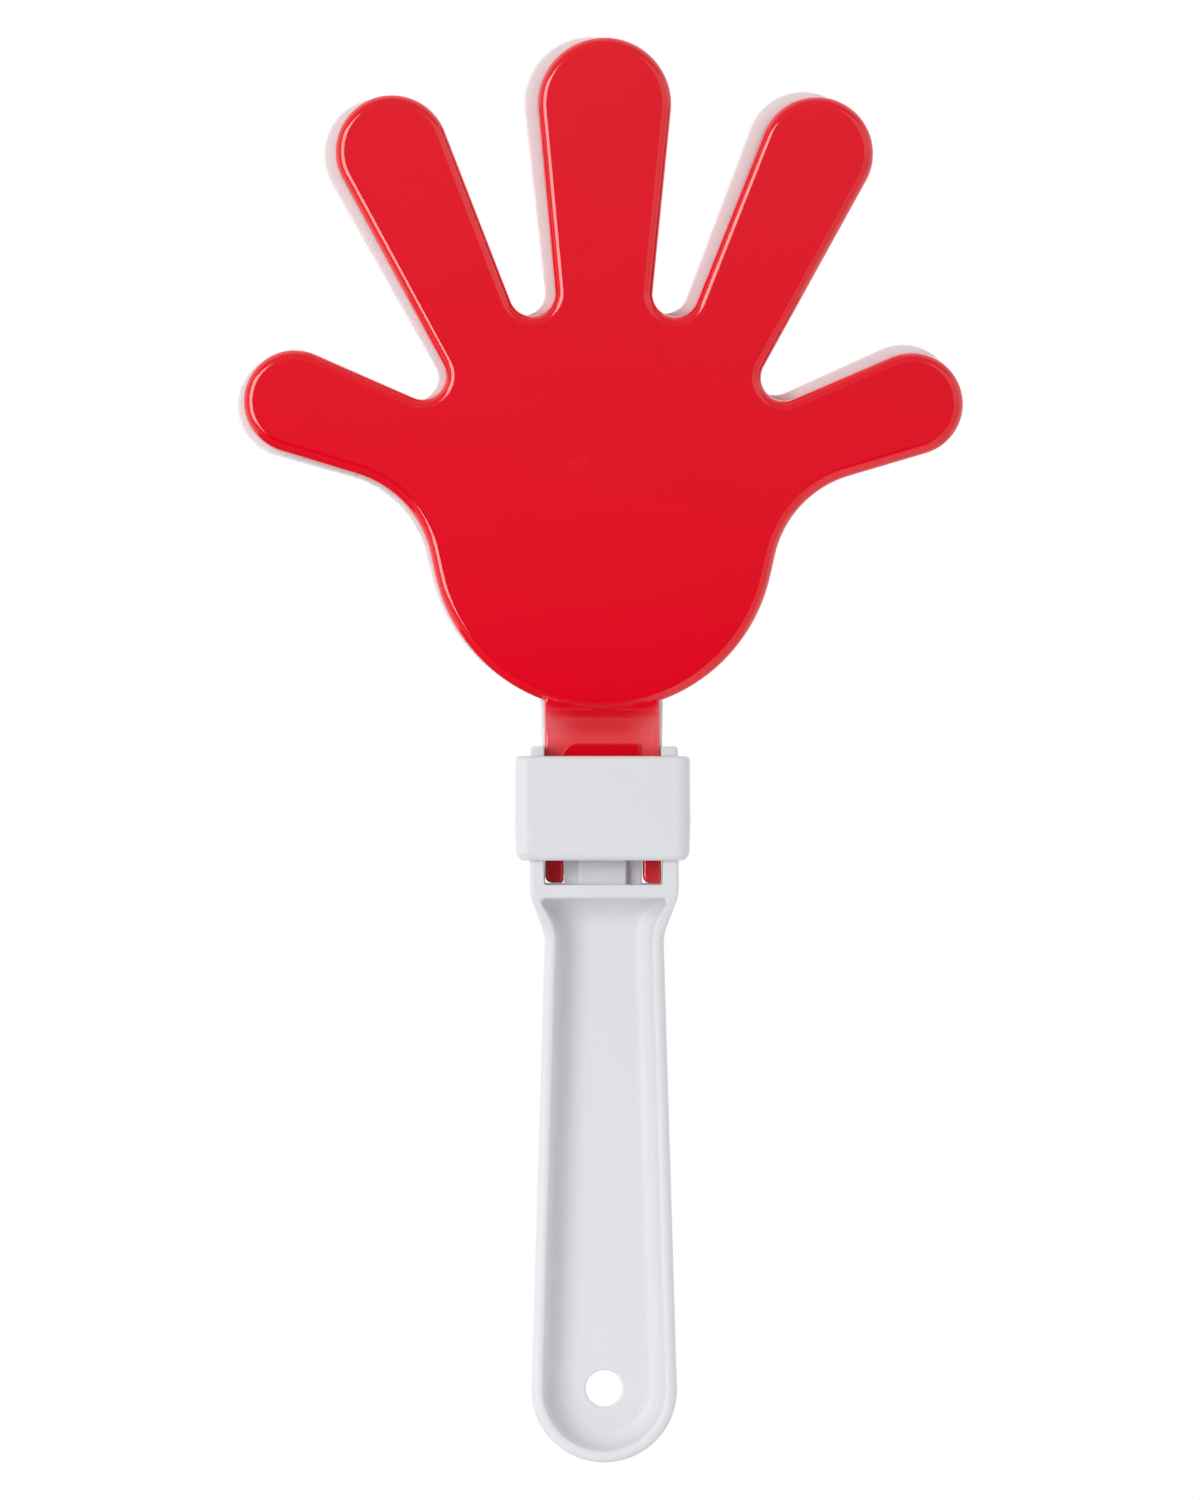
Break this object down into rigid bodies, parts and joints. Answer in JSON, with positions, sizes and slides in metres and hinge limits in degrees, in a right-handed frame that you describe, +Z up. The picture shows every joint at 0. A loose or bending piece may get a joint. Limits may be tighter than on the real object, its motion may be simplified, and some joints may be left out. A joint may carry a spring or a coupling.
{
  "type": "hand clapper",
  "caption": "Noise-making party clapper: two hand-shaped shells hinged on a long grip swing and clap together, with a sliding collar over the hinge.",
  "frame": {"origin": "the lowest point of the grip's rounded end, on the handle's centre line", "axes": "+Z up the handle to the fingertips, +X to the right as the red hand is seen, the red hand faces -Y"},
  "size_m": [0.1428, 0.0254, 0.2799],
  "materials": {
    "red_plastic": "glossy moulded",
    "white_gloss": "glossy moulded",
    "white_satin": "satin moulded"
  },
  "bodies": {
    "handle": {"handle": "white_satin"},
    "collar": {"slide_collar": "white_satin"},
    "front_hand": {"front_hand": "red_plastic"},
    "rear_hand": {"rear_hand": "white_gloss"}
  },
  "joints": [
    {"name": "front_hand_pivot", "type": "hinge", "parent": "handle", "child": "front_hand", "pos_m": [0, -0.0031, 0.12], "axis": [1, 0, 0], "range_deg": [0, 16]},
    {"name": "rear_hand_pivot", "type": "hinge", "parent": "handle", "child": "rear_hand", "pos_m": [0.0005, 0.0031, 0.12], "axis": [-0.9997, 0, -0.0253], "range_deg": [0, 16]},
    {"name": "collar_slide", "type": "slide", "parent": "handle", "child": "collar", "axis": [0, 0, 1], "range_m": [-0.022, 0]}
  ]
}
